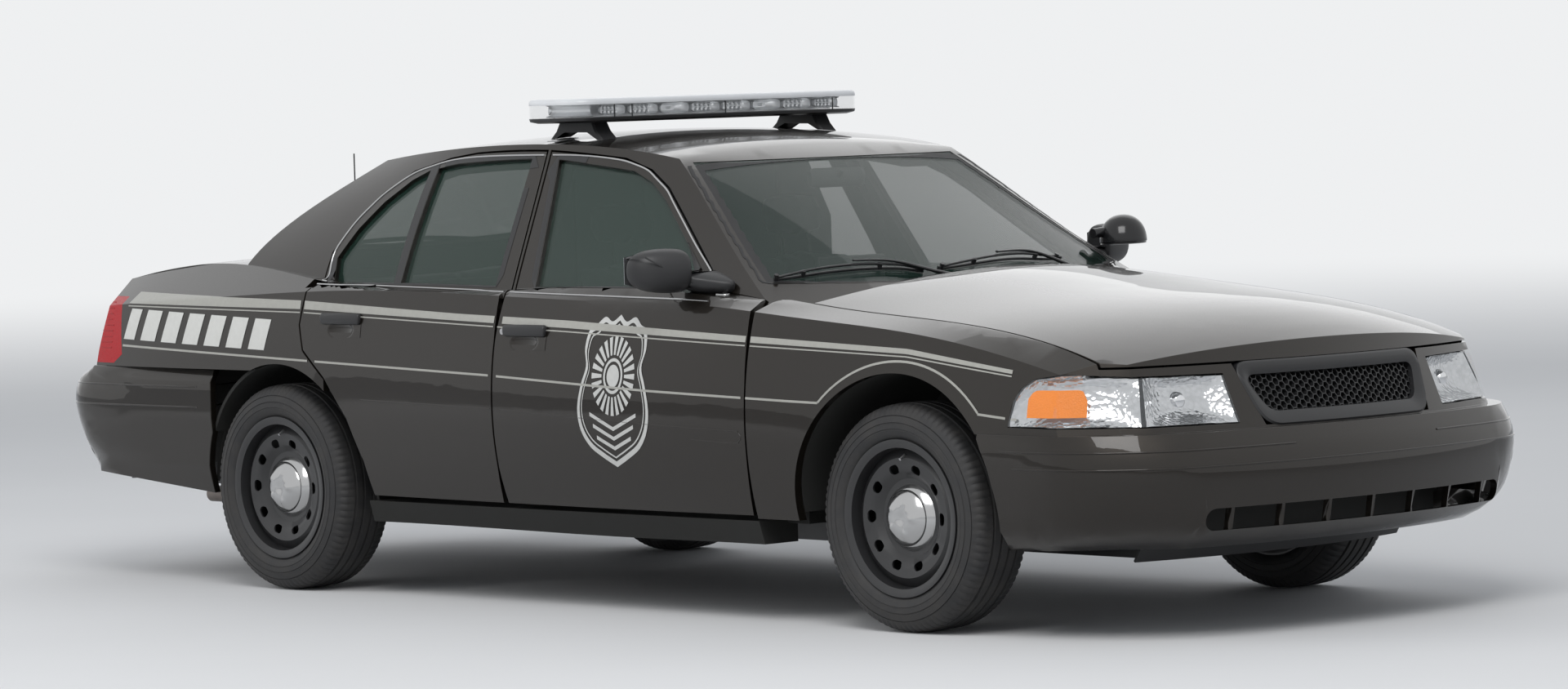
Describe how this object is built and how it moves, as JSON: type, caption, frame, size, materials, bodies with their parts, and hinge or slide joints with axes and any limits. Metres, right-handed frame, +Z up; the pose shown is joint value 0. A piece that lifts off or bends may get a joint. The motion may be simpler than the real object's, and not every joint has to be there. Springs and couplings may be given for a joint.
{
  "type": "police patrol car",
  "caption": "Patrol saloon with a roof light bar, spotlight, black steel wheels, opening doors, bonnet and boot lid, steered front wheels and a full cabin.",
  "frame": {"origin": "on the ground below the middle of the car's length and width", "axes": "+X towards the nose, +Y to the car's left, +Z up"},
  "size_m": [5.3848, 2.172, 1.596],
  "materials": {
    "body_paint": "glossy dark grey metallic paint",
    "dark_plastic": "dull black plastic",
    "glass": "green tinted glass",
    "lamp": "clear lamp lens",
    "red_lamp": "red lamp lens",
    "tyre": "dull rubber",
    "wheel": "satin black steel",
    "chassis": "dull black underseal",
    "metal": "bare cast metal",
    "seat": "dark cloth",
    "trim": "dark grained plastic"
  },
  "bodies": {
    "root": {"front_wing_left": "body_paint", "front_wing_right": "body_paint", "quarter_left": "body_paint", "quarter_right": "body_paint", "roof_shell": "body_paint", "front_bumper": "body_paint", "rear_bumper": "body_paint", "underbody": "chassis", "frame": "chassis", "rear_axle": "chassis", "fuel_tank": "chassis", "engine_block": "metal", "exhaust": "metal", "windscreen": "glass", "rear_window": "glass", "cowl": "dark_plastic", "grille": "dark_plastic", "air_dam": "dark_plastic", "light_bar": "dark_plastic", "spotlight": "dark_plastic", "wipers": "dark_plastic", "headlamp_left": "lamp", "headlamp_right": "lamp", "tail_lamp_left": "red_lamp", "tail_lamp_right": "red_lamp", "front_seats": "seat", "rear_seat": "seat", "dashboard": "trim", "partition": "trim"},
    "door_front_left": {"door_front_left": "body_paint", "glass_front_left": "glass"},
    "wheel_front_left": {"wheel_front_left": "wheel", "tyre_front_left": "tyre"},
    "door_front_right": {"door_front_right": "body_paint", "glass_front_right": "glass"},
    "wheel_front_right": {"wheel_front_right": "wheel", "tyre_front_right": "tyre"},
    "door_rear_left": {"door_rear_left": "body_paint", "glass_rear_left": "glass"},
    "wheel_rear_left": {"wheel_rear_left": "wheel", "tyre_rear_left": "tyre"},
    "door_rear_right": {"door_rear_right": "body_paint", "glass_rear_right": "glass"},
    "wheel_rear_right": {"wheel_rear_right": "wheel", "tyre_rear_right": "tyre"},
    "bonnet": {"bonnet": "body_paint"},
    "boot_lid": {"boot_lid": "body_paint", "antenna": "dark_plastic"},
    "steering_wheel": {"steering_wheel": "trim"},
    "knuckle_left": {"knuckle_left": "metal"},
    "knuckle_right": {"knuckle_right": "metal"}
  },
  "joints": [
    {"name": "door_front_left_hinge", "type": "hinge", "parent": "root", "child": "door_front_left", "pos_m": [0.99, 0.965, 0.6], "axis": [0, 0, -1], "range_deg": [0, 66]},
    {"name": "door_rear_left_hinge", "type": "hinge", "parent": "root", "child": "door_rear_left", "pos_m": [-0.17, 0.972, 0.6], "axis": [0, 0, -1], "range_deg": [0, 66]},
    {"name": "steer_left", "type": "hinge", "parent": "root", "child": "knuckle_left", "pos_m": [1.6265, 0.733, 0.34], "axis": [0, 0, 1], "range_deg": [-33, 33]},
    {"name": "wheel_front_left_spin", "type": "hinge", "parent": "knuckle_left", "child": "wheel_front_left", "pos_m": [1.6265, 0.805, 0.34], "axis": [0, 1, 0], "continuous": true},
    {"name": "wheel_rear_left_spin", "type": "hinge", "parent": "root", "child": "wheel_rear_left", "pos_m": [-1.2865, 0.833, 0.34], "axis": [0, 1, 0], "continuous": true},
    {"name": "door_front_right_hinge", "type": "hinge", "parent": "root", "child": "door_front_right", "pos_m": [0.99, -0.965, 0.6], "axis": [0, 0, 1], "range_deg": [0, 66]},
    {"name": "door_rear_right_hinge", "type": "hinge", "parent": "root", "child": "door_rear_right", "pos_m": [-0.17, -0.972, 0.6], "axis": [0, 0, 1], "range_deg": [0, 66]},
    {"name": "steer_right", "type": "hinge", "parent": "root", "child": "knuckle_right", "pos_m": [1.6265, -0.733, 0.34], "axis": [0, 0, 1], "range_deg": [-33, 33]},
    {"name": "wheel_front_right_spin", "type": "hinge", "parent": "knuckle_right", "child": "wheel_front_right", "pos_m": [1.6265, -0.805, 0.34], "axis": [0, 1, 0], "continuous": true},
    {"name": "wheel_rear_right_spin", "type": "hinge", "parent": "root", "child": "wheel_rear_right", "pos_m": [-1.2865, -0.833, 0.34], "axis": [0, 1, 0], "continuous": true},
    {"name": "bonnet_hinge", "type": "hinge", "parent": "root", "child": "bonnet", "pos_m": [1.182, 0, 0.95], "axis": [0, -1, 0], "range_deg": [0, 50]},
    {"name": "boot_hinge", "type": "hinge", "parent": "root", "child": "boot_lid", "pos_m": [-1.894, 0, 1.072], "axis": [0, 1, 0], "range_deg": [0, 72]},
    {"name": "steering_wheel_turn", "type": "hinge", "parent": "root", "child": "steering_wheel", "pos_m": [0.56, 0.38, 0.83], "axis": [-0.9063, 0, 0.4226], "range_deg": [-530, 530]}
  ],
  "couplings": [
    {"joint": "steer_right", "follows": "steer_left", "ratio": 1},
    {"joint": "steering_wheel_turn", "follows": "steer_left", "ratio": 16}
  ]
}
